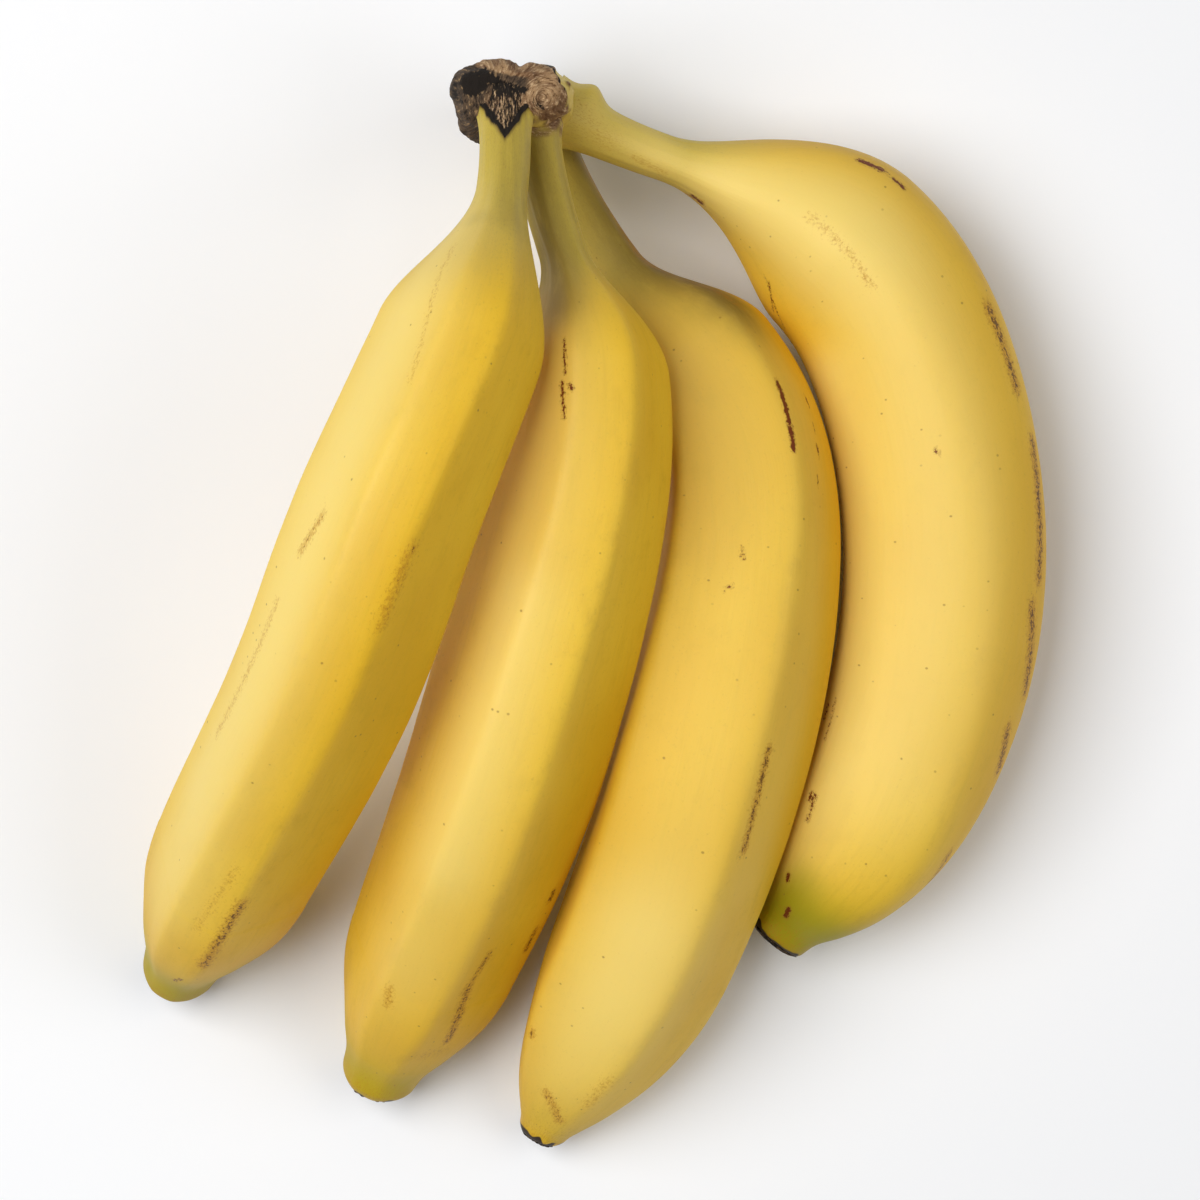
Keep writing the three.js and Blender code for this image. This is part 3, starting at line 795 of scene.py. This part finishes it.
# %% Bark, cork and char
WOOD = [("#5c4a39", 1, ("broad", 0.4, 0.65)),           # lighter patches
        ("#241b14", 0.7, ("strands", 0.48, 0.4)),       # creases
        ("#9a7d58", 0.9, ("strands", 0.56, 0.66))]      # bleached fibres
CORK = [("#a5845f", 1, ("broad", 0.4, 0.62)),           # lighter patches
        ("#d0b088", 0.85, ("strands", 0.53, 0.64)),     # pale fibres
        ("#55371f", 0.8, ("strands", 0.46, 0.38))]      # pits
print("coats on bark:", len(WOOD) + len(CORK))

# %% [markdown]
# ## Banana peel
# Ripe peel is a waxy skin over pale fibrous flesh. Its yellow is never even: it drifts slowly,
# has faint lengthwise fibres, turns straw-green on the neck and green at the nose, browns along
# the ridges and carries pores and bruises. Each of those is a coat or two, from the widest to
# the finest. A little light passes through the skin, so a small amount of subsurface scattering
# softens the shade.

# %% Banana peel
PEEL = [("#e9bd28", 1, ("drift", 0.35, 0.65)),
        ("#cfa518", 0.25, ("fibre", 0.5, 0.75)),
        ("#cfa418", 0.34, ("mottle", 0.48, 0.75)),
        ("#bf961c", 0.25, ("speck", 0.55, 0.75)),
        ("#b9821a", 0.12, ("ridge", 0, 1), ("mottle", 0.45, 0.7)),    # worn ridges
        # neck colour; on the first fruit it runs over the shoulder as painted shade
        ("#c4b04e", 0.85, ("neck", 0, 1)),
        ("#8d7440", 0.3, ("neck", 0, 1), ("speck", 0.5, 0.7)),
        ("#f4d87a", 1, ("painted_light", 0, 1)),                               # painted light
        ("#9f960a", 0.95, ("green", 0, 1)),
        ("#77622a", 1, ("smudge_and_painted_shade", 0, 1), ("mottle", -0.3, 0.6)),      # brown smudges, partly painted shade on shaded necks
        ("#8a6226", 0.6, ("pore_distance", 0.12, 0.05), ("pore_choice", 0.6, 0.9)),
        ("#b97c14", 0.65, ("bruise_dots", 1.2, 1.85)),
        ("#5c3500", 0.92, ("bruise_dots", 1.77, 1.99)),
        ("#a8772a", 0.4, ("scratch_dots", 1.1, 1.5), ("scratch", 0.05, 0.2)),
        ("#6c2600", 0.97, ("scratch_dots", 1.5, 1.72), ("scratch", 0.05, 0.2)),
        ("#33261a", 1, ("rim", 0.25, 0.6))]
PEEL_BASE, WOOD_BASE, CORK_BASE, CHAR = "#dfae18", "#43372c", "#7c5d42", "#211b16"
print("coats on peel:", len(PEEL))

# %% [markdown]
# ## Two materials from one recipe
# Skin creeps over part of the crown and bark shows in the tear of the peel, so both materials
# carry both paints and mix them by the stored bark number. Only the skin lets light through.
# Peel is half matt, bark fully. IOR 1.45 is the usual value for plant wax. The bump reads only
# one noise, because each one that it reads is worked out three times over for its slope.

# %% Two materials from one recipe
WAX_IOR, SHINE = 1.45, 0.3
PEEL_ROUGHNESS, BARK_ROUGHNESS = (0.48, 0.58), 0.92
SCATTER_COLOUR = (1.0, 0.6, 0.12)       # red light travels furthest through the skin
SCATTER_DISTANCE = 0.0025               # metres


def grown_material(name, scattering, relief, depth):
    """Principled shader: skin and bark paint mixed by the bark number, and roughness too. The
    bump reads the noise named relief, scaled to a depth in metres."""
    material = bpy.data.materials.new(name)
    material.use_nodes = True
    tree = material.node_tree
    tree.nodes.clear()
    found = sources(tree)
    cork = paint(tree, found, linear(CORK_BASE), CORK)
    bare = paint(tree, found, paint(tree, found, linear(WOOD_BASE), WOOD),
                 [(cork, 1, ("cork", 0, 1)), (CHAR, 1, ("char_flakes", -0.35, -0.1))])
    peel = paint(tree, found, linear(PEEL_BASE), PEEL)
    colour = paint(tree, found, peel, [(bare, 1, ("bark", 0, 1))])
    least, most = PEEL_ROUGHNESS
    skin_rough = add(tree, "MapRange", {"Value": found["mottle"], "To Min": least, "To Max": most})
    rough = add(tree, "Mix", {0: found["bark"], 2: skin_rough.outputs[0], 3: BARK_ROUGHNESS})
    bump = add(tree, "Bump", {"Height": found[relief], "Strength": 0.5, "Distance": depth})
    shader = add(tree, "BsdfPrincipled", {
        "Base Color": colour, "Roughness": rough.outputs[0], "Normal": bump.outputs[0],
        "IOR": WAX_IOR, "Specular IOR Level": SHINE, "Subsurface Weight": scattering,
        "Subsurface Radius": SCATTER_COLOUR, "Subsurface Scale": SCATTER_DISTANCE})
    add(tree, "OutputMaterial", {"Surface": shader.outputs[0]})
    return material


peel_material = grown_material("banana_peel", 0.12, "fibre", 0.00012)
bark_material = grown_material("dried_banana_crown", 0.0, "strands", 0.00075)
print("nodes in each:", len(peel_material.node_tree.nodes))

# %% [markdown]
# ## Dress the pieces
# The crown carries the same two paints as the peel, because skin creeps over part of it. The
# flower ends are bare all over, so the bark material suits them too.

# %% Dress the pieces
for piece in fruits:
    piece.data.materials.append(peel_material)
for piece in (*buttons, crown):
    piece.data.materials.append(bark_material)
print("pieces dressed:", len(fruits) + len(buttons) + 1)

# %% [markdown]
# ## Table and light
# The bunch lies on a plain pale table. A large soft light high on the left, a little towards
# the crown, shapes the ridges. A weaker one opposite keeps the shade from going black, and the
# pale room does the rest. Big lights give the soft edges that a waxy skin shows.

# %% Table and light
TABLE_SIZE, TABLE_COLOUR, TABLE_ROUGHNESS = 6, "#f7f8fa", 0.8     # size in metres
ROOM_STRENGTH = 0.12
AIM_HEIGHT = 0.03       # metres: the middle of the bunch above the table
bpy.ops.mesh.primitive_plane_add(size=TABLE_SIZE, location=(0, 0, 0))
table = bpy.context.object
table.name = "table"
table_material = bpy.data.materials.new("matt_white_table")
table_material.use_nodes = True
table_shader = table_material.node_tree.nodes["Principled BSDF"]
table_shader.inputs["Base Color"].default_value = linear(TABLE_COLOUR)
table_shader.inputs["Roughness"].default_value = TABLE_ROUGHNESS
table.data.materials.append(table_material)


def softbox(name, place, size, power):
    """A square white area light aimed at the middle of the bunch: its own Z axis points back
    along the line from there to the light."""
    data = bpy.data.lights.new(name, "AREA")
    data.size, data.energy = size, power
    lamp = bpy.data.objects.new(name, data)
    lamp.location = place
    back = lamp.location.copy()
    back.z -= AIM_HEIGHT
    lamp.rotation_euler = back.to_track_quat("Z", "Y").to_euler()
    bpy.context.collection.objects.link(lamp)
    return lamp


key = softbox("key_light", (-0.52, 0.1, 1.0), 0.85, 12)        # metres, metres, watts
fill = softbox("fill_light", (0.8, 0, 0.8), 0.85, 4)
room = bpy.data.worlds.new("pale_room")
room.use_nodes = True
backdrop = room.node_tree.nodes["Background"]
backdrop.inputs["Color"].default_value = linear("#ffffff")
backdrop.inputs["Strength"].default_value = ROOM_STRENGTH
bpy.context.scene.world = room
bpy.context.scene.view_settings.view_transform = "Standard"
print("lights:", key.name, fill.name)
